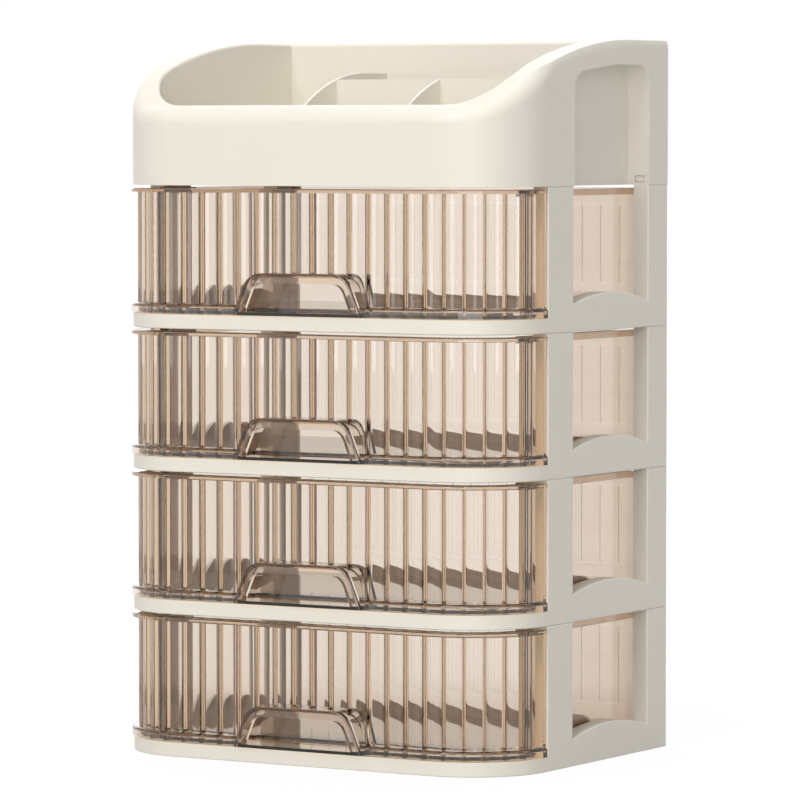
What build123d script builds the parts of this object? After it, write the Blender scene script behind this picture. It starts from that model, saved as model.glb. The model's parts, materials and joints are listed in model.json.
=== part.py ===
"""A stacking make-up organizer: four cream frames, an amber drawer in each, and a tray on top."""
from build123d import *
import math
import os

os.makedirs("parts", exist_ok=True)

# Overall sizes in millimetres. The origin is on the floor, in the middle of the plan with the drawers shut.
# The front looks along -Y, and all depths below are measured back from the front of the frames.
width = 240.0
depth = 171.0
corner_radius = 42.7      # front corners, seen from above
tier_count = 4
tier_pitch = 73.5         # height of one frame
wall = 2.4                # general wall of the cream mouldings
cut_over = 6.0            # how far a cut runs past the face that it opens
fit = 0.3                 # clearance between pieces that plug together
same_place = 0.05         # places closer than this count as one when edges are chosen

# Frame (tier)
band_height = 7.6         # deck height, seen as the band under each drawer
deck_thickness = 2.4
side_depth = 8.7          # how deep the posts and window edges reach inwards
post_gap = 2.3            # from the drawer front to the front posts
front_post = 25.7         # length of the posts, seen from the side
rear_post = 21.0
post_foot_radius = 2.4    # between the band and the front post
sill_ends = 14.0          # height of the window sill at its ends
sill_crown = 19.2         # and in its middle
edge_round = 0.7          # outer edges of the side frames
return_width = 14.5       # plates behind the drawer at the rear corners
lip_height = 6.4          # low stop along the rear edge of the deck
lip_end = 46.0            # from the side of the frame to the end of this stop
lip_radius = 5.0
rib_wall = 1.6            # ribs under the deck
rib_drop = 2.0            # how far the ribs stay above the lower edge
long_rib_count = 5
cross_rib_count = 3
tab_wall = 2.0            # tabs that locate the frame above
tab_height = 4.9
tab_margin = 5.0          # from the ends of a post to its tab
catch_width = 5.0         # nib that snaps into the tray
catch_height = 2.8

# Tray on top
front_rim = 40.4          # height of the front rim above the tray's lower edge
tray_height = 74.5        # height at the back
rim_bend_depth = 12.0     # where the rim starts to rise
rim_bend_radius = 5.0
rim_break_depth = 29.5    # where its rounding starts to fade
rim_break_height = 53.2
rim_knee_depth = 39.8     # where the rise slackens
rim_knee_height = 59.2
rim_knee_radius = 72.0
rim_crest_depth = 89.5    # where the rise and the level top would meet
rim_crest_radius = 280.0
fade_knee_depth = 48.0    # the same places on the untrimmed body
fade_knee_radius = 25.0
rim_round = 9.0           # rounding of the outer edge at the front
rim_edge = 4.0            # what is left of the rounding at the back
mouth_round = 1.5         # rounding of the inner edge
bin_gap = 12.0            # from the outside of the tray to the outside of its bin
bin_back_gap = 7.3
bin_wall = 2.2
tray_floor = 2.4
rim_depth = 10.0          # solid depth under the rim
alcove_front_step = 1.0   # how far the alcove's front and rear lie behind those of the windows
alcove_rear_step = 0.5
alcove_top_gap = 12.7     # from the top of the alcove to the top of the tray
alcove_fall = 4.4         # how far the alcove's top falls towards the front
alcove_crown_share = 0.55  # where this fall starts, as a share of the alcove's length
alcove_radius = 10.5
alcove_crown_radius = 120.0
catch_slot_low = 1.3

# Dividers in the tray
divider_wall = 1.6
divider_gap = 16.3        # from the top of the dividers to the top of the tray
divider_flat = 22.0       # level length of the front-to-back plates, behind their arch
divider_toe = 3.0         # height of their front ends
divider_toe_gap = 7.7     # from the bin to these ends
rear_compartment = 22.5   # front to back
middle_compartment = 50.5
divider_left_x = -32.0
divider_right_x = 31.0

# Drawer
run_gap = 0.2             # between a drawer and the deck under it
head_gap = 1.5            # between a drawer and the frame above
lip_out = 1.0             # how far the rim and the ledge stand out past the frame
ledge_height = 5.1
ledge_round = 1.8
ledge_wall = 1.9          # the ledge is hollow, open below
rim_thickness = 2.0
rim_soften = 0.6
front_wall = 2.0
flute_inset = 2.4         # ridges of the flutes, from the frame's outline
flute_depth = 4.6
flute_inside = 2.0        # depth of the flutes on the inside
flute_count = 25
flute_end = 2.0           # plain stretch at each end of the fluted wall
wing_plain = 0.3          # straight stretch of the front behind its rounded corners
wing_wall = 2.8
slide_gap = 0.9           # between the rim of a drawer and the posts
box_wall = 2.0
box_floor = 1.6
box_lap = 4.0             # how far the box reaches into the wrapped front
box_back_gap = 6.0
box_corner = 6.0
box_rim_out = 0.8
box_rim_in = 3.0          # how far the rim reaches inwards along the sides
box_rim_height = 3.5
tongue_reach = 10.0       # lap of the box floor over the front's floor
tongue_thickness = 1.2
tongue_end = 14.0         # from the side of the box to the end of this lap
line_width = 0.8          # fine upright grooves on the back of the box
line_depth = 0.5
line_low = 14.0           # plain height under and over them
line_high = 9.0

# Finger recess in the drawer front
arch_foot_half = 38.5
arch_top_half = 29.5
arch_top = 29.3           # above the frame's lower edge
arch_shoulder = 12.0
arch_bar = 5.0            # width of the bar round the opening
arch_bar_depth = 4.0
arch_out = 1.0            # how far the bar stands out past the ledge
arch_wall = 2.0
arch_round = 1.4
recess_depth = 17.0

# Worked out from the sizes above
half_width = width / 2
front_y = (lip_out + arch_out - depth) / 2
back_y = front_y + depth
flat_half = half_width - corner_radius
corner_y = front_y + corner_radius
tray_z = tier_count * tier_pitch
side_inner = half_width - side_depth
lip_half = half_width - lip_end
wing_end = corner_radius + wing_plain
post_front = wing_end + post_gap
window_front = post_front + front_post
window_rear = depth - rear_post
bin_inset = bin_gap + bin_wall
bin_half = half_width - bin_inset
bin_front_y = front_y + bin_inset
bin_back_y = back_y - bin_back_gap - bin_wall
alcove_front = window_front + alcove_front_step
alcove_rear = window_rear + alcove_rear_step
alcove_crown = tray_height - alcove_top_gap
alcove_shoulder = alcove_crown - alcove_fall
alcove_crown_depth = alcove_front + alcove_crown_share * (alcove_rear - alcove_front)
divider_top = tray_height - divider_gap
cross_rear_depth = depth - bin_back_gap - bin_wall - rear_compartment
cross_front_depth = cross_rear_depth - middle_compartment
divider_flat_depth = cross_rear_depth - divider_flat
divider_rise = divider_top - tray_floor - divider_toe
divider_run = divider_flat_depth - bin_inset - divider_toe_gap
divider_radius = (divider_run**2 + divider_rise**2) / (2 * divider_rise)
box_half = side_inner - slide_gap - box_rim_out
box_front = wing_end - box_lap
box_back = depth - box_back_gap
tongue_half = box_half - tongue_end


def at_depth(distance):
    """The Y of a place that lies a distance behind the front plane."""
    return front_y + distance


def plan_face(inset, rear_y):
    """Draw the plan of the box inset from its front and sides, with its rear edge at rear_y."""
    half = half_width - inset
    radius = corner_radius - inset
    with BuildLine() as outline:
        left = Line((-half, rear_y), (-half, corner_y))
        left_corner = JernArc(left @ 1, left % 1, radius, 90)
        front = Line(left_corner @ 1, (flat_half, front_y + inset))
        right_corner = JernArc(front @ 1, front % 1, radius, 90)
        right = Line(right_corner @ 1, (half, rear_y))
        Line(right @ 1, left @ 0)
    make_face(outline.edges())


def side_plane(x):
    """The plane of the side frames at x, with Y to its right and Z up."""
    return Plane.YZ.offset(x)


# Frames

def sill_arch(base_z, drop):
    """The arched top of the window sill, or a line that lies a drop below it."""
    middle = (window_front + window_rear) / 2
    return ThreePointArc(
        (at_depth(window_front), base_z + sill_ends - drop),
        (at_depth(middle), base_z + sill_crown - drop),
        (at_depth(window_rear), base_z + sill_ends - drop),
    )


def side_frame_face(base_z):
    """Draw one side of a frame: two posts and the arched sill, open at the top."""
    top = base_z + tier_pitch
    band = base_z + band_height
    foot_y = at_depth(post_front - post_foot_radius)
    with BuildLine() as outline:
        arch = sill_arch(base_z, 0)
        Polyline(arch @ 0, (at_depth(window_front), top), (at_depth(post_front), top))
        Line((at_depth(post_front), top), (at_depth(post_front), band + post_foot_radius))
        RadiusArc((at_depth(post_front), band + post_foot_radius), (foot_y, band), post_foot_radius)
        Polyline((foot_y, band), (foot_y, base_z), (back_y, base_z), (back_y, top))
        Polyline((back_y, top), (at_depth(window_rear), top), arch @ 1)
    make_face(outline.edges())


def sill_core_face(base_z):
    """Draw the hollow inside the sill, open below."""
    with BuildLine() as outline:
        arch = sill_arch(base_z, wall)
        Polyline(arch @ 0, (at_depth(window_front), base_z), (at_depth(window_rear), base_z), arch @ 1)
    make_face(outline.edges())


def post_ranges():
    """The depths between which each post lies, front one first."""
    return ((post_front, window_front), (window_rear, depth))


def is_side_edge(edge):
    """True for the outer edges of a side frame that are rounded."""
    middle = edge.center()
    on_side = abs(abs(middle.X) - half_width) < same_place
    return on_side and middle.Y > corner_y + same_place


def build_tier(number):
    """One frame: deck, side posts with their windows, rear returns, rear lip, ribs and tabs."""
    base_z = (number - 1) * tier_pitch
    base = Plane.XY.offset(base_z)
    top = Plane.XY.offset(base_z + tier_pitch)
    hollow = band_height - deck_thickness
    with BuildPart() as tier:
        with BuildSketch(base):
            plan_face(0, back_y)
        extrude(amount=band_height)
        for side in (-1, 1):
            with BuildSketch(side_plane(side * side_inner)):
                side_frame_face(base_z)
            extrude(amount=side * side_depth)
        fillet(tier.edges().filter_by(is_side_edge), edge_round)

        # The posts are open to the inside, and the sill is open below.
        for side in (-1, 1):
            with BuildSketch(side_plane(side * side_inner)):
                for start, end in post_ranges():
                    with Locations((at_depth((start + end) / 2), base_z + (tier_pitch + band_height) / 2)):
                        Rectangle(end - start - 2 * wall, tier_pitch - band_height - 2 * wall)
            extrude(amount=side * (side_depth - wall), mode=Mode.SUBTRACT)
            with BuildSketch(side_plane(side * (side_inner + wall))):
                sill_core_face(base_z)
            extrude(amount=side * (side_depth - 2 * wall), mode=Mode.SUBTRACT)

        with BuildSketch(base):
            plan_face(wall, back_y - wall)
        extrude(amount=hollow, mode=Mode.SUBTRACT)

        # Ribs under the deck
        with BuildSketch(base.offset(rib_drop)):
            rib_span = 2 * flat_half / (long_rib_count - 1)
            with Locations((0, at_depth(depth / 2))):
                with GridLocations(rib_span, depth, long_rib_count, 1):
                    Rectangle(rib_wall, depth - 2 * wall)
            window_length = window_rear - window_front
            with Locations((0, at_depth(window_front + window_length / 2))):
                with GridLocations(width, window_length / cross_rib_count, 1, cross_rib_count):
                    Rectangle(width - 2 * wall, rib_wall)
        extrude(amount=hollow - rib_drop)

        # Plates at the rear corners, and the lip that stops the drawer
        with BuildSketch(base):
            return_half = (return_width - side_depth) / 2
            for side in (-1, 1):
                with Locations((side * (side_inner - return_half), back_y - wall / 2)):
                    Rectangle(2 * return_half, wall)
        extrude(amount=tier_pitch)
        with BuildSketch(Plane.XZ.offset(-back_y)) as lip:
            with Locations((0, base_z + band_height + lip_height / 2)):
                Rectangle(2 * lip_half, lip_height)
            fillet(lip.vertices().group_by(Axis.Y)[-1], lip_radius)
        extrude(amount=wall)

        # Tabs that stand in the frame above, and the catches that snap into the tray
        with BuildSketch(top):
            for side in (-1, 1):
                for start, end in post_ranges():
                    tab_x = half_width - wall - fit - tab_wall / 2
                    with Locations((side * tab_x, at_depth((start + end) / 2))):
                        Rectangle(tab_wall, end - start - 2 * tab_margin)
                catch_y = at_depth(alcove_rear + bin_wall + fit + tab_wall / 2)
                with Locations((side * (side_inner + side_depth / 2 - wall / 2), catch_y)):
                    Rectangle(catch_width, tab_wall)
        extrude(amount=tab_height)
        for side in (-1, 1):
            with BuildSketch(Plane.XZ.offset(-at_depth(alcove_rear + bin_wall + fit))):
                nib_z = base_z + tier_pitch + catch_slot_low + fit + catch_height / 2
                with Locations((side * (side_inner + side_depth / 2 - wall / 2), nib_z)):
                    Rectangle(catch_width, catch_height)
            extrude(amount=bin_wall)
    tier.part.label = f"tier_{number}"
    return tier.part


# Tray

def rim_line(drop):
    """The corners of the rim line seen from the side, front to back, lowered by a drop."""
    return [
        (at_depth(rim_bend_depth), tray_z + front_rim - drop),
        (at_depth(rim_break_depth), tray_z + rim_break_height - drop),
        (at_depth(rim_knee_depth), tray_z + rim_knee_height - drop),
        (at_depth(rim_crest_depth), tray_z + tray_height - drop),
        (back_y + cut_over, tray_z + tray_height - drop),
    ]


def above_face(points, radii):
    """Draw all that lies above a line of the tray's side view, rounded at its corners."""
    sky = tray_z + 2 * tray_height
    with BuildLine() as outline:
        line = FilletPolyline(*points, radius=radii)
        Polyline(line @ 1, ((line @ 1).X, sky), ((line @ 0).X, sky), line @ 0)
    make_face(outline.edges())


def above_untrimmed_face():
    """Draw what is cut from the top of the tray before its rise is trimmed."""
    bend, rim_break, _, crest, end = rim_line(0)
    slope = (rim_break[1] - bend[1]) / (rim_break[0] - bend[0])
    fade_y = at_depth(fade_knee_depth)
    fade_knee = (fade_y, bend[1] + slope * (fade_y - bend[0]))
    top = crest[1] + rim_round - rim_edge
    start = (at_depth(-cut_over), bend[1])
    above_face(
        (start, bend, fade_knee, (crest[0], top), (end[0], top)),
        (rim_bend_radius, fade_knee_radius, rim_crest_radius),
    )


def above_rim_face():
    """Draw what trims the rise, from the break of the rim line to the back."""
    bend, rim_break, knee, crest, end = rim_line(0)
    slope = (knee[1] - rim_break[1]) / (knee[0] - rim_break[0])
    start = (bend[0], rim_break[1] - slope * (rim_break[0] - bend[0]))
    above_face((start, knee, crest, end), (rim_knee_radius, rim_crest_radius))


def above_core_face():
    """Draw what lies above the hollow between the skirt and the bin."""
    bend, _, knee, crest, end = rim_line(rim_depth)
    start = (at_depth(-cut_over), bend[1])
    above_face((start, bend, knee, crest, end), rim_bend_radius)


def alcove_face(grow, overrun):
    """Draw the opening in the tray's side, grown by the wall round it, down to an overrun below the tray."""
    front = at_depth(alcove_front - grow)
    rear = at_depth(alcove_rear + grow)
    crown = tray_z + alcove_crown + grow
    low = tray_z - overrun
    with BuildLine() as outline:
        arch = FilletPolyline(
            (front, low),
            (front, tray_z + alcove_shoulder + grow),
            (at_depth(alcove_crown_depth), crown),
            (rear, crown),
            (rear, low),
            radius=(alcove_radius + grow, alcove_crown_radius, alcove_radius + grow),
        )
        Line(arch @ 1, arch @ 0)
    make_face(outline.edges())


def is_rim_edge(edge):
    """True for the outer edge along the top of the tray, from side to side round the front."""
    middle = edge.center()
    at_front = abs(middle.Y - front_y) < same_place
    return middle.Z > tray_z + front_rim / 2 and (at_front or abs(middle.X) > flat_half - same_place)


def is_mouth_edge(edge):
    """True for the upper edge of the bin."""
    middle = edge.position_at(0.5)
    at_side = abs(abs(middle.X) - bin_half) < same_place
    at_end = min(abs(middle.Y - bin_front_y), abs(middle.Y - bin_back_y)) < same_place
    reach = math.hypot(abs(middle.X) - flat_half, middle.Y - corner_y)
    at_corner = middle.Y < corner_y and abs(reach - corner_radius + bin_inset) < same_place
    return middle.Z > tray_z + front_rim / 2 and (at_side or at_end or at_corner)


with BuildPart() as tray_core:
    # The hollow between the tray's skirt and its bin
    with BuildSketch(Plane.XY.offset(tray_z)):
        plan_face(wall, back_y - wall)
    extrude(amount=2 * tray_height)
    with BuildSketch(Plane.XY.offset(tray_z)):
        plan_face(bin_gap, back_y - bin_back_gap)
    extrude(amount=2 * tray_height, mode=Mode.SUBTRACT)
    with BuildSketch(side_plane(0)):
        above_core_face()
    extrude(amount=width, both=True, mode=Mode.SUBTRACT)

with BuildPart() as top_tray:
    with BuildSketch(Plane.XY.offset(tray_z)):
        plan_face(0, back_y)
    extrude(amount=tray_height + rim_round)
    # The rounding is made on a taller body and trimmed, so it fades out towards the back.
    with BuildSketch(side_plane(0)):
        above_untrimmed_face()
    extrude(amount=width, both=True, mode=Mode.SUBTRACT)
    fillet(top_tray.edges().filter_by(Axis.Z, reverse=True).filter_by(is_rim_edge), rim_round)
    with BuildSketch(side_plane(0)):
        above_rim_face()
    extrude(amount=width, both=True, mode=Mode.SUBTRACT)

    with BuildSketch(Plane.XY.offset(tray_z + tray_floor)):
        plan_face(bin_inset, bin_back_y)
    extrude(amount=2 * tray_height, mode=Mode.SUBTRACT)
    fillet(top_tray.edges().filter_by(Axis.Z, reverse=True).filter_by(is_mouth_edge), mouth_round)
    add(tray_core.part, mode=Mode.SUBTRACT)

    # An alcove in each side, with a wall round it and a slot for the catch of the frame below
    for side in (-1, 1):
        with BuildSketch(side_plane(side * (half_width - bin_gap))):
            alcove_face(bin_wall, 0)
        extrude(amount=side * (bin_gap - wall))
        with BuildSketch(side_plane(side * (half_width - bin_gap))):
            alcove_face(0, cut_over)
        extrude(amount=side * (bin_gap + cut_over), mode=Mode.SUBTRACT)
        with BuildSketch(Plane.XZ.offset(-at_depth(alcove_rear + bin_wall))):
            slot_z = tray_z + catch_slot_low + fit + catch_height / 2
            with Locations((side * (side_inner + side_depth / 2 - wall / 2), slot_z)):
                Rectangle(catch_width + 2 * fit, catch_height + 2 * fit)
        extrude(amount=bin_wall, mode=Mode.SUBTRACT)
top_tray.part.label = "top_tray"
export_step(top_tray.part, "parts/top_tray.step")


# Dividers: two arched plates from front to back and two cross plates, dropped into the bin

def divider_face(rear):
    """Draw a front-to-back plate: an arch that levels out, cut off at the depth rear."""
    floor_z = tray_z + tray_floor
    top_z = tray_z + divider_top
    flat_y = at_depth(divider_flat_depth)
    toe_z = floor_z + divider_toe
    toe_y = flat_y - divider_run
    end_y = at_depth(cross_rear_depth + divider_wall / 2)
    with BuildLine() as outline:
        arch = RadiusArc((toe_y, toe_z), (flat_y, top_z), divider_radius)
        Polyline(arch @ 1, (end_y, top_z), (end_y, floor_z), (toe_y, floor_z), arch @ 0)
    make_face(outline.edges())
    length = at_depth(rear) - toe_y
    with Locations((toe_y + length / 2, floor_z)):
        Rectangle(length, 2 * divider_top, mode=Mode.INTERSECT)


with BuildPart() as tray_dividers:
    half_plate = divider_wall / 2
    for plate_x, rear in ((divider_left_x, cross_rear_depth), (divider_right_x, cross_front_depth)):
        with BuildSketch(side_plane(plate_x - half_plate)):
            divider_face(rear + half_plate)
        extrude(amount=divider_wall)
    cross_end = bin_half - fit
    cross_run = max(0, divider_flat_depth - cross_front_depth)
    cross_drop = divider_radius - math.sqrt(divider_radius**2 - cross_run**2)
    for cross_depth, drop in ((cross_front_depth, cross_drop), (cross_rear_depth, 0)):
        with BuildSketch(Plane.XY.offset(tray_z + tray_floor)):
            with Locations(((divider_left_x + cross_end) / 2, at_depth(cross_depth))):
                Rectangle(cross_end - divider_left_x, divider_wall)
        extrude(amount=divider_top - tray_floor - drop)
tray_dividers.part.label = "tray_dividers"
export_step(tray_dividers.part, "parts/tray_dividers.step")


# Drawers

def front_point(run, inset):
    """The point at a run along the front, from its middle, and inset from the frame's outline."""
    side = math.copysign(1, run)
    turn = max(0, abs(run) - flat_half) / (corner_radius - flute_inset)
    radius = corner_radius - inset
    x = min(abs(run), flat_half) + radius * math.sin(turn)
    return (side * x, corner_y - radius * math.cos(turn))


def flute_pitch():
    """The width of one flute, so that a whole number of them runs round the front."""
    quarter = (corner_radius - flute_inset) * math.pi / 2
    return 2 * (flat_half + quarter - flute_end) / flute_count


def fluted_wall_face():
    """Draw the fluted wall: hollow flutes between sharp ridges, and shallower ones on the inside."""
    pitch = flute_pitch()
    half_pitch = pitch / 2
    ridge_wall = flute_depth + front_wall - flute_inside
    first = -pitch * flute_count / 2
    with BuildLine() as outline:
        for ridge, valley in ((flute_inset, flute_inset + flute_depth),
                              (flute_inset + ridge_wall, flute_inset + flute_depth + front_wall)):
            for index in range(flute_count):
                start = first + index * pitch
                ThreePointArc(
                    front_point(start, ridge),
                    front_point(start + half_pitch, valley),
                    front_point(start + pitch, ridge),
                )
        for end in (first, -first):
            Line(front_point(end, flute_inset), front_point(end, flute_inset + ridge_wall))
    make_face(outline.edges())


def arch_face(base_z, inset, floor):
    """Draw the arch of the finger recess, inset from its outside and cut off at the height floor."""
    low = base_z + floor
    top = base_z + arch_top - inset
    full = arch_top - band_height - run_gap
    slope = (arch_foot_half - arch_top_half) / full
    slant = inset * math.sqrt(1 + slope**2)
    low_half = arch_foot_half - slant - slope * (floor - band_height - run_gap)
    top_half = arch_foot_half - slant - slope * (full - inset)
    with BuildLine() as outline:
        line = FilletPolyline(
            (-low_half, low), (-top_half, top), (top_half, top), (low_half, low),
            radius=arch_shoulder - inset,
        )
        Line(line @ 1, line @ 0)
    make_face(outline.edges())


def is_lip_edge(edge):
    """True for the edges of a ledge or rim, other than its rear end."""
    return edge.center().Y < at_depth(wing_end) - same_place


def build_front(number):
    """A drawer's front: fluted wall, rim, ledge, end plates and the arched finger recess."""
    base_z = (number - 1) * tier_pitch
    low = band_height + run_gap
    rim_top = tier_pitch - head_gap
    rim_low = rim_top - rim_thickness
    wall_inner = flute_inset + flute_depth + front_wall
    floor_inset = flute_inset + flute_depth + front_wall / 2
    bar_front = lip_out + arch_out
    floor = Plane.XY.offset(base_z + low)
    with BuildPart() as front:
        # Floor and ledge
        with BuildSketch(floor):
            plan_face(-lip_out, at_depth(wing_end))
        extrude(amount=ledge_height)
        fillet(front.faces().sort_by(Axis.Z)[-1].edges().filter_by(is_lip_edge), ledge_round)
        with BuildSketch(floor):
            plan_face(ledge_wall - lip_out, at_depth(wing_end))
        extrude(amount=ledge_height - ledge_wall, mode=Mode.SUBTRACT)
        with BuildSketch(floor):
            plan_face(wall_inner, at_depth(wing_end))
        extrude(amount=ledge_height, mode=Mode.SUBTRACT)
        with BuildSketch(floor):
            plan_face(floor_inset, at_depth(wing_end))
        extrude(amount=box_floor)
        with BuildSketch(floor):
            with Locations((0, at_depth(box_front + depth / 2))):
                Rectangle(2 * (half_width - wall_inner), depth)
        extrude(amount=ledge_height, mode=Mode.SUBTRACT)

        with BuildSketch(floor):
            fluted_wall_face()
        extrude(amount=rim_low - low)
        with BuildSketch(Plane.XY.offset(base_z + rim_low)):
            plan_face(-lip_out, at_depth(wing_end))
        extrude(amount=rim_thickness)
        fillet(front.faces().sort_by(Axis.Z)[-1].edges().filter_by(is_lip_edge), rim_soften)
        with BuildSketch(Plane.XY.offset(base_z + rim_low)):
            plan_face(wall_inner, at_depth(wing_end))
        extrude(amount=rim_thickness, mode=Mode.SUBTRACT)
        with BuildSketch(floor):
            end_width = half_width - box_half
            for side in (-1, 1):
                with Locations((side * (box_half + end_width / 2), at_depth(wing_end - wing_wall / 2))):
                    Rectangle(end_width, wing_wall)
        extrude(amount=rim_low - low)

        # Finger recess: a pocket behind a narrower bar, which gives the fingers their hold
        with BuildSketch(Plane.XZ.offset(-at_depth(recess_depth))):
            arch_face(base_z, 0, low)
        extrude(amount=recess_depth + bar_front)
        rounded = front.faces().sort_by(Axis.Y)[0].edges().filter_by(
            lambda edge: edge.center().Z > base_z + low + same_place
        )
        fillet(rounded, arch_round)
        with BuildSketch(Plane.XZ.offset(-at_depth(recess_depth - arch_wall))):
            arch_face(base_z, arch_wall, low + box_floor)
        extrude(amount=recess_depth - arch_wall + bar_front - arch_bar_depth, mode=Mode.SUBTRACT)
        with BuildSketch(Plane.XZ.offset(-at_depth(recess_depth - arch_wall))):
            arch_face(base_z, arch_bar, low + box_floor)
        extrude(amount=recess_depth + bar_front + cut_over, mode=Mode.SUBTRACT)
    front.part.label = f"drawer_{number}_front"
    return front.part


def box_plan(half, rear, radius):
    """Draw the plan of a drawer box with rounded rear corners, open towards the front."""
    start_y = at_depth(box_front)
    rear_y = at_depth(rear)
    with BuildLine() as outline:
        line = FilletPolyline(
            (half, start_y), (half, rear_y), (-half, rear_y), (-half, start_y), radius=radius
        )
        Line(line @ 1, line @ 0)
    make_face(outline.edges())


def build_box(number):
    """A drawer's box: floor, two sides, back and a thicker rim, with a tongue that laps the front."""
    base_z = (number - 1) * tier_pitch + band_height + run_gap
    top_z = number * tier_pitch - head_gap
    floor = Plane.XY.offset(base_z)
    with BuildPart() as box:
        with BuildSketch(floor):
            box_plan(box_half, box_back, box_corner)
        extrude(amount=top_z - base_z)
        with BuildSketch(Plane.XY.offset(top_z - box_rim_height)):
            box_plan(box_half + box_rim_out, box_back + box_rim_out, box_corner + box_rim_out)
            with Locations((0, at_depth(box_front))):
                Rectangle(width, 2 * (wing_end + fit - box_front), mode=Mode.SUBTRACT)
        extrude(amount=box_rim_height)
        rim_inside = box_half - box_wall - box_rim_in
        with BuildSketch(floor.offset(box_floor)):
            box_plan(box_half - box_wall, box_back - box_wall, box_corner - box_wall)
        extrude(amount=top_z - base_z - box_floor - box_rim_height, mode=Mode.SUBTRACT)
        with BuildSketch(floor.offset(box_floor)):
            box_plan(rim_inside, box_back - box_wall, box_corner - box_wall)
        extrude(amount=tier_pitch, mode=Mode.SUBTRACT)
        with BuildSketch(floor.offset(box_floor)):
            with Locations((0, at_depth(box_front))):
                Rectangle(2 * tongue_half, 2 * tongue_reach)
        extrude(amount=tongue_thickness)
        # Fine grooves on the outside of the back, one for each flute of the front, between two level ones
        line_height = top_z - base_z - line_low - line_high
        line_pitch = flute_pitch()
        line_count = 2 * int((box_half - box_corner) / line_pitch)
        with BuildSketch(Plane.XZ.offset(-at_depth(box_back))):
            with Locations((0, base_z + line_low + line_height / 2)):
                with GridLocations(line_pitch, tier_pitch, line_count, 1):
                    Rectangle(line_width, line_height)
                with GridLocations(width, line_height, 1, 2):
                    Rectangle(line_count * line_pitch, line_width)
        extrude(amount=line_depth, mode=Mode.SUBTRACT)
    box.part.label = f"drawer_{number}_box"
    return box.part


for number in range(1, tier_count + 1):
    export_step(build_tier(number), f"parts/tier_{number}.step")
    export_step(build_front(number), f"parts/drawer_{number}_front.step")
    export_step(build_box(number), f"parts/drawer_{number}_box.step")
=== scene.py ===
# %% [markdown]
# # A stacking cosmetic organizer
# The object is a tower of four cream frames, each with a see-through amber drawer, under an open
# tray. Every solid comes from the CAD model, so this lesson is about what makes such a simple
# object look real: the two plastics, the soft studio light and the camera. Lengths are in metres,
# +Z is up, and the drawers open along -Y.

# %% Load the solids
import json
import math

import bpy
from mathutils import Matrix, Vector


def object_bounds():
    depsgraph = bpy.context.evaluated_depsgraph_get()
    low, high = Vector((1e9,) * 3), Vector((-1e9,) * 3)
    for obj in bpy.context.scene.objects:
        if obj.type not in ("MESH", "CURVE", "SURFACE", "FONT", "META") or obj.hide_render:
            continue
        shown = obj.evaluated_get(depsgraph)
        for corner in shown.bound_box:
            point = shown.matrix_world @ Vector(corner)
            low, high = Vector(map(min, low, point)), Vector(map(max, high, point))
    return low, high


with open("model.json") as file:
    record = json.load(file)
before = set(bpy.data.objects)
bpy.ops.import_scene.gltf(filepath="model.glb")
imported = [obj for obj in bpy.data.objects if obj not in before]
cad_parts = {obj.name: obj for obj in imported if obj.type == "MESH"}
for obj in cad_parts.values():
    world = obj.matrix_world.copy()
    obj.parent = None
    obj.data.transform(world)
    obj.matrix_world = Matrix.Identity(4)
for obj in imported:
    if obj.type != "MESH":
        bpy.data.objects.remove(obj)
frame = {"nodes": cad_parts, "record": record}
cad_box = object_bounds()
nodes = frame["nodes"]
print("solids:", len(nodes), "box:", [list(corner) for corner in cad_box])

# %% [markdown]
# ## Where things are
# The record says which finish each node takes, so the lists of objects come from there. The base
# of the tower and its middle are read from the box, and the floor and the lights are placed from
# them.

# %% Sort the nodes by finish
finishes = {row["node"]: row["material_slot"] for row in frame["record"]["subparts"]}
cream_nodes = [nodes[name] for name, slot in finishes.items() if slot == "cream_plastic"]
amber_nodes = [nodes[name] for name, slot in finishes.items() if slot == "amber_plastic"]
low, high = (Vector(corner) for corner in cad_box)
middle = (low + high) / 2
print("cream:", len(cream_nodes), "amber:", len(amber_nodes), "height:", round(high.z - low.z, 4))

# %% [markdown]
# ## A group for moulded surfaces
# Injection-moulded plastic is never perfectly even. The steel mould leaves a fine spark-eroded
# grain, and the melt leaves slow waves where the wall shrank. Both plastics show these two scales,
# so they are made once, as a node group with the grain and the waves as outputs, and each material
# decides how strongly to use them. Object coordinates are used because each solid keeps its place
# in its mesh, so the pattern stays put.

# %% Moulded surface group


def moulded_surface_group():
    """Build the shared node group: a fine grain and slow waves, both from 0 to 1."""
    tree = bpy.data.node_groups.new("moulded_surface", "ShaderNodeTree")
    for name, default in (("Grain Scale", 2600.0), ("Wave Scale", 14.0)):
        socket = tree.interface.new_socket(name, in_out="INPUT", socket_type="NodeSocketFloat")
        socket.default_value = default
    for name in ("Grain", "Waves"):
        tree.interface.new_socket(name, in_out="OUTPUT", socket_type="NodeSocketFloat")
    inputs = tree.nodes.new("NodeGroupInput")
    outputs = tree.nodes.new("NodeGroupOutput")
    place = tree.nodes.new("ShaderNodeTexCoord")
    for scale, output, detail in (("Grain Scale", "Grain", 2.0), ("Wave Scale", "Waves", 3.0)):
        noise = tree.nodes.new("ShaderNodeTexNoise")
        noise.inputs["Detail"].default_value = detail
        tree.links.new(place.outputs["Object"], noise.inputs["Vector"])
        tree.links.new(inputs.outputs[scale], noise.inputs["Scale"])
        tree.links.new(noise.outputs["Fac"], outputs.inputs[output])
    return tree


moulded_surface = moulded_surface_group()
print("group:", moulded_surface.name, len(moulded_surface.nodes), "nodes")

# %% [markdown]
# ## Small helpers for materials
# A new material starts with a Principled shader. Mapping a mask to a range, blending two colours
# and turning a mask into a bump are needed several times, so each gets a helper of its own.

# %% Material helpers


def new_material(name):
    """A material with its tree, its shader and its output node."""
    material = bpy.data.materials.new(name)
    material.use_nodes = True
    tree = material.node_tree
    return material, tree, tree.nodes["Principled BSDF"], tree.nodes["Material Output"]


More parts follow.
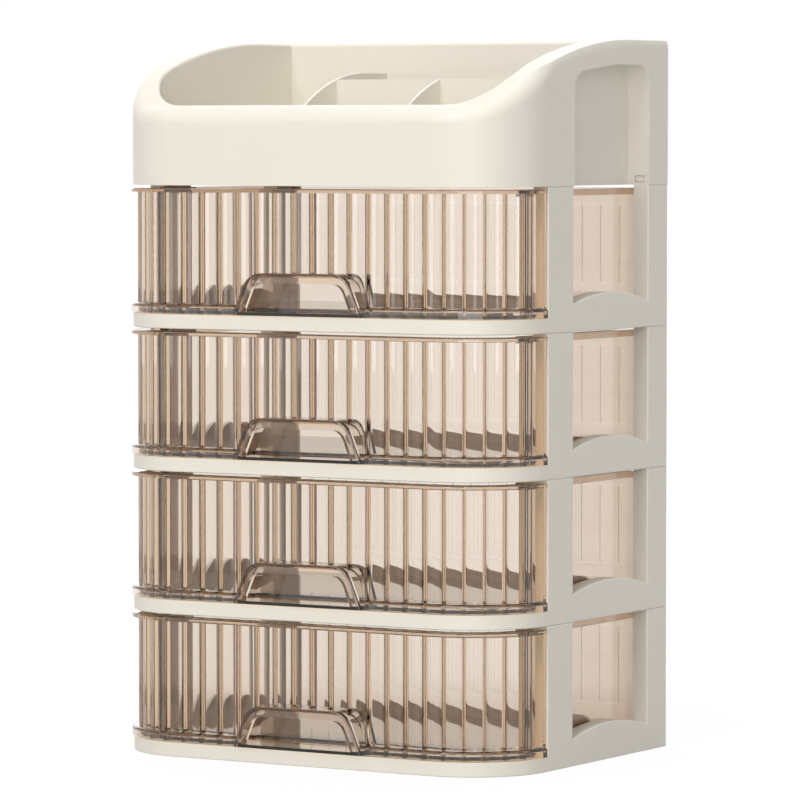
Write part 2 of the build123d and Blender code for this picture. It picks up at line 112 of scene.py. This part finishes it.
def ranged(tree, mask, lowest, highest, start=0.0, end=1.0):
    """Map a mask, which goes from start to end, to a range of values."""
    node = tree.nodes.new("ShaderNodeMapRange")
    node.inputs["From Min"].default_value = start
    node.inputs["From Max"].default_value = end
    node.inputs["To Min"].default_value = lowest
    node.inputs["To Max"].default_value = highest
    tree.links.new(mask, node.inputs["Value"])
    return node.outputs["Result"]


def blended(tree, mask, first, second):
    """Blend from the first colour to the second as a mask goes from 0 to 1."""
    node = tree.nodes.new("ShaderNodeMix")
    node.data_type = "RGBA"
    node.inputs["A"].default_value = first
    node.inputs["B"].default_value = second
    tree.links.new(mask, node.inputs["Factor"])
    return node.outputs["Result"]


def add_bump(tree, shader, height, strength, distance):
    """Let a mask raise and lower a shader's surface a little."""
    node = tree.nodes.new("ShaderNodeBump")
    node.inputs["Strength"].default_value = strength
    node.inputs["Distance"].default_value = distance
    tree.links.new(height, node.inputs["Height"])
    tree.links.new(node.outputs["Normal"], shader.inputs["Normal"])


def surface_of_mould(tree, grain_scale, wave_scale):
    """Place the moulded surface group in a material."""
    node = tree.nodes.new("ShaderNodeGroup")
    node.node_tree = moulded_surface
    node.inputs["Grain Scale"].default_value = grain_scale
    node.inputs["Wave Scale"].default_value = wave_scale
    return node


def dress(objects, material):
    """Give a list of objects one material."""
    for item in objects:
        item.data.materials.clear()
        item.data.materials.append(material)
    print(material.name, "on", len(objects), "objects")


# %% [markdown]
# ## Cream plastic
# The frames and the tray are opaque polypropylene with a satin skin: a warm off-white, a broad soft
# highlight and a grain that is only seen close up. The slow waves shift the colour and the gloss by
# a hair, as on a real moulding, and the grain goes into a shallow bump.

# %% Cream plastic
cream_deep = (0.785, 0.739, 0.648, 1.0)
cream_pale = (0.815, 0.770, 0.684, 1.0)
satin_roughness = (0.36, 0.46)
polypropylene_ior = 1.48


def cream_plastic():
    """Opaque satin plastic in a warm off-white."""
    material, tree, shader, _ = new_material("cream_plastic")
    mould = surface_of_mould(tree, grain_scale=2400.0, wave_scale=11.0)
    waves = mould.outputs["Waves"]
    tree.links.new(blended(tree, waves, cream_deep, cream_pale), shader.inputs["Base Color"])
    tree.links.new(ranged(tree, waves, *satin_roughness), shader.inputs["Roughness"])
    add_bump(tree, shader, mould.outputs["Grain"], strength=0.12, distance=0.0002)
    shader.inputs["IOR"].default_value = polypropylene_ior
    return material


dress(cream_nodes, cream_plastic())

# %% [markdown]
# ## Amber plastic
# The drawers are clear polystyrene with a brown dye. Clear plastic gets its depth of colour from how
# far light travels inside it: a wall seen face on is almost white, and the same wall seen along its
# length is dark. That is what volume absorption does, so the surface itself stays almost colourless
# and the dye goes into the volume.
#
# Lamps would reach the inside of a drawer only as caustics, which are slow to render, so shadow rays
# and diffuse rays pass straight through with a slight tint at each surface. The boxes look deeper
# through the side windows than the fluted fronts do, so they get more dye, and a browner one.

# %% Amber plastic
clear_skin = (1.0, 0.99, 0.98, 1.0)
polished_roughness = (0.0, 0.03)
polystyrene_ior = 1.52
pass_through_tint = (0.99, 0.94, 0.87, 1.0)
front_dye = (0.65, 0.42, 0.15, 1.0)
box_dye = (0.54, 0.35, 0.15, 1.0)


def joined(tree, operation, first, second):
    """Join two values with a Math node."""
    node = tree.nodes.new("ShaderNodeMath")
    node.operation = operation
    tree.links.new(first, node.inputs[0])
    tree.links.new(second, node.inputs[1])
    return node.outputs["Value"]


def show_either(tree, output, mask, first, second):
    """Show the first shader where a mask is 0 and the second one where it is 1."""
    node = tree.nodes.new("ShaderNodeMixShader")
    tree.links.new(mask, node.inputs["Fac"])
    tree.links.new(first, node.inputs[1])
    tree.links.new(second, node.inputs[2])
    tree.links.new(node.outputs["Shader"], output.inputs["Surface"])


def amber_plastic(name, density, dye_color):
    """Clear plastic with a dye of a given density and colour."""
    material, tree, shader, output = new_material(name)
    mould = surface_of_mould(tree, grain_scale=900.0, wave_scale=9.0)
    shader.inputs["Base Color"].default_value = clear_skin
    shader.inputs["Transmission Weight"].default_value = 1.0
    shader.inputs["IOR"].default_value = polystyrene_ior
    polish = ranged(tree, mould.outputs["Grain"], *polished_roughness)
    tree.links.new(polish, shader.inputs["Roughness"])
    add_bump(tree, shader, mould.outputs["Waves"], strength=0.05, distance=0.0004)

    clear = tree.nodes.new("ShaderNodeBsdfTransparent")
    clear.inputs["Color"].default_value = pass_through_tint
    path = tree.nodes.new("ShaderNodeLightPath").outputs
    passes = joined(tree, "MAXIMUM", path["Is Shadow Ray"], path["Is Diffuse Ray"])
    show_either(tree, output, passes, shader.outputs["BSDF"], clear.outputs["BSDF"])

    dye = tree.nodes.new("ShaderNodeVolumeAbsorption")
    dye.inputs["Color"].default_value = dye_color
    dye.inputs["Density"].default_value = density
    tree.links.new(dye.outputs["Volume"], output.inputs["Volume"])
    return material


fronts = [item for item in amber_nodes if "front" in item.name]
boxes = [item for item in amber_nodes if item not in fronts]
dress(fronts, amber_plastic("amber_front", density=85.0, dye_color=front_dye))
dress(boxes, amber_plastic("amber_box", density=215.0, dye_color=box_dye))

# %% [markdown]
# ## The studio
# The photograph is a catalogue picture: a white sweep and large soft lights. The floor is pale and
# takes the shadow. What the camera, a reflection or a view through the plastic sees of the floor and
# the surroundings is mostly plain white, and what they give as light is much less.
#
# A clear object on pure white would lose its outline, so, as with the dark cards of a glass
# photographer, the surroundings overhead are dark for rays that have come through the plastic. The
# rounded edges bend those rays upwards, and so they show as dark lines. The floor close to the tower
# is a pale tan for such rays, as if in its shade.

# %% White surroundings
plain_white = (1.0, 1.0, 1.0, 1.0)
card_color = (0.16, 0.09, 0.05, 1.0)
cards_from = (0.12, 0.35)  # height of a ray's direction, where the cards begin and are full
ambient_strength = 0.32


def seen_directly(tree):
    """One for rays from the camera, from reflections and through clear plastic, else zero."""
    path = tree.nodes.new("ShaderNodeLightPath").outputs
    opaque = joined(tree, "MAXIMUM", path["Is Camera Ray"], path["Is Glossy Ray"])
    return joined(tree, "MAXIMUM", opaque, path["Is Transmission Ray"])


def through_plastic_tone(tree, mask, color):
    """White, but a given colour for rays through clear plastic where the mask is one; the world gives
    it a dark card, the floor a painted shade.
    """
    path = tree.nodes.new("ShaderNodeLightPath").outputs
    share = joined(tree, "MULTIPLY", path["Is Transmission Ray"], mask)
    return blended(tree, share, plain_white, color)


def white_world():
    """A world that looks white, has dark cards for clear plastic, and gives a softer light."""
    world = bpy.data.worlds.new("white_surroundings")
    bpy.context.scene.world = world
    world.use_nodes = True
    tree = world.node_tree
    background = tree.nodes["Background"]
    place = tree.nodes.new("ShaderNodeTexCoord")
    direction = tree.nodes.new("ShaderNodeSeparateXYZ")
    tree.links.new(place.outputs["Generated"], direction.inputs["Vector"])
    overhead = ranged(tree, direction.outputs["Z"], 0.0, 1.0, *cards_from)
    tree.links.new(through_plastic_tone(tree, overhead, card_color), background.inputs["Color"])
    strength = ranged(tree, seen_directly(tree), ambient_strength, 1.0)
    tree.links.new(strength, background.inputs["Strength"])
    return world


print("world:", white_world().name)

# %% [markdown]
# ## The floor
# A real sweep curves up behind the object and burns out to white. Here a flat plane does the same: it
# shows a share of plain white that grows with the distance from the tower, so that the shadow stays
# at its foot and no horizon is seen.

# %% Pale floor
floor_size = 60.0
floor_grey = (0.60, 0.60, 0.60, 1.0)
floor_roughness = 0.9
foot_white = 0.84  # share of plain white at the foot of the tower; it is full a metre away
white_strength = 1.07
# painted shade: close to the tower, rays through the plastic see the floor as a pale tan instead of
# white
painted_floor_shade = (0.72, 0.63, 0.54, 1.0)
painted_shade_reach = (0.10, 0.35)  # distance from the tower's middle, where the tan is full and ends


def white_floor():
    """A pale floor that takes the shadow near the object, shows painted shade in pale tan to rays
    through the plastic close to it, and plain white further away.
    """
    bpy.ops.object.select_all(action="DESELECT")
    bpy.ops.mesh.primitive_plane_add(size=floor_size, location=(middle.x, middle.y, low.z))
    floor = bpy.context.object
    floor.name = "floor"
    material, tree, shader, output = new_material("pale_floor")
    shader.inputs["Base Color"].default_value = floor_grey
    shader.inputs["Roughness"].default_value = floor_roughness
    place = tree.nodes.new("ShaderNodeTexCoord")
    away = tree.nodes.new("ShaderNodeVectorMath")
    away.operation = "LENGTH"
    tree.links.new(place.outputs["Object"], away.inputs[0])
    distance = away.outputs["Value"]

    glow = tree.nodes.new("ShaderNodeEmission")
    glow.inputs["Strength"].default_value = white_strength
    # painted shade on the floor near the tower, pale tan, only for rays through the plastic
    near = ranged(tree, distance, 1.0, 0.0, *painted_shade_reach)
    tree.links.new(through_plastic_tone(tree, near, painted_floor_shade), glow.inputs["Color"])
    white = joined(
        tree, "MULTIPLY", seen_directly(tree), ranged(tree, distance, foot_white, 1.0)
    )
    show_either(tree, output, white, shader.outputs["BSDF"], glow.outputs["Emission"])
    floor.data.materials.append(material)
    return floor


floor = white_floor()
print("floor at", round(floor.location.z, 4))

# %% [markdown]
# ## Lights
# An area light is a softbox: the larger it is, the softer the shadows. Each one is turned to look at
# the middle of the tower. The key light stands high in front, so that it reaches into the tray. A
# second one, low and to the right, lights what is set back in the windows and behind the drawers, and
# weak ones fill in from the right, from the left, from behind and from above. Lamps are hidden from
# rays through the plastic, where they would burn streaks into the ridges.

# %% Softboxes


def softbox(name, place, size, power):
    """A square softbox that looks at the middle of the tower; its place is counted from there."""
    data = bpy.data.lights.new(name, "AREA")
    data.size = size
    data.energy = power
    lamp = bpy.data.objects.new(name, data)
    bpy.context.scene.collection.objects.link(lamp)
    lamp.location = middle + Vector(place)
    lamp.rotation_euler = (middle - lamp.location).to_track_quat("-Z", "Y").to_euler()
    lamp.visible_transmission = False


softbox("key_high_front", place=(0.0, -3.05, 3.05), size=2.2, power=82.0)
softbox("low_front_right", place=(2.0, -3.75, 0.45), size=2.4, power=58.0)
softbox("fill_right", place=(2.8, -1.4, 2.2), size=2.4, power=12.0)
softbox("fill_front_left", place=(-1.8, -3.2, 1.0), size=2.8, power=6.5)
softbox("back_left", place=(-2.2, 2.6, 1.5), size=2.8, power=27.0)
softbox("top", place=(0.0, 0.1, 1.6), size=1.2, power=7.0)

# %% [markdown]
# ## The camera
# The long lens keeps the verticals almost parallel, as in a catalogue picture. The view comes from a
# fit to the lower outline and the seams of the tower: a little over thirty degrees round to the
# right, and looking down by three degrees.

# %% Camera
view_turn = 0.54416  # radians to the right of straight in front
view_tilt = 0.05288  # radians down
view_distance = 2.64339
view_lens = 228.893  # millimetres, on the sensor below
sensor_width = 36.0
aim = Vector((0.00638, 0.00501, 0.18216))


def product_camera():
    """A camera that looks at the aim from the fitted place."""
    data = bpy.data.cameras.new("product_camera")
    data.sensor_width = sensor_width
    data.lens = view_lens
    camera = bpy.data.objects.new("product_camera", data)
    bpy.context.scene.collection.objects.link(camera)
    flat = math.cos(view_tilt)
    back = Vector(
        (math.sin(view_turn) * flat, -math.cos(view_turn) * flat, math.sin(view_tilt))
    )
    camera.location = aim + back * view_distance
    camera.rotation_euler = (math.pi / 2 - view_tilt, 0.0, view_turn)
    bpy.context.scene.camera = camera
    return camera


camera = product_camera()
bpy.context.scene.view_settings.view_transform = "Standard"
print("camera at", [round(value, 3) for value in camera.location])
